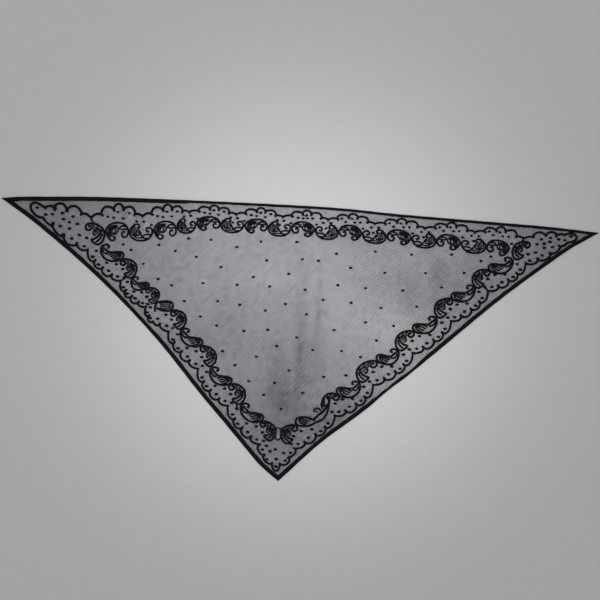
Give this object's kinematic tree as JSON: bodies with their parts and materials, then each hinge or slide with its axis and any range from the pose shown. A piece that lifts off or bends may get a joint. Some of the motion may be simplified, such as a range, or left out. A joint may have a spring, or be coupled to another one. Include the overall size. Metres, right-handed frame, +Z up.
{
  "type": "lace headscarf",
  "caption": "Triangular see-through net headscarf laid flat, with a bound edge, a scalloped cord, a leafy scroll border and embroidered dots.",
  "frame": {"origin": "centre of the bounding box at the surface the cloth lies on", "axes": "+X along the long edge towards the right tip, -Y towards the apex, +Z up out of the cloth's face"},
  "size_m": [0.96, 0.4422, 0.0062],
  "materials": {
    "net": "fine black tulle net, see-through",
    "thread": "black embroidery thread, soft satin stitch"
  },
  "bodies": {
    "root": {"net_ground": "net", "edge_band_long": "thread", "edge_band_left": "thread", "edge_band_right": "thread", "scallop_cord": "thread", "garland_long": "thread", "garland_left": "thread", "garland_right": "thread", "apex_stem": "thread"}
  },
  "joints": []
}
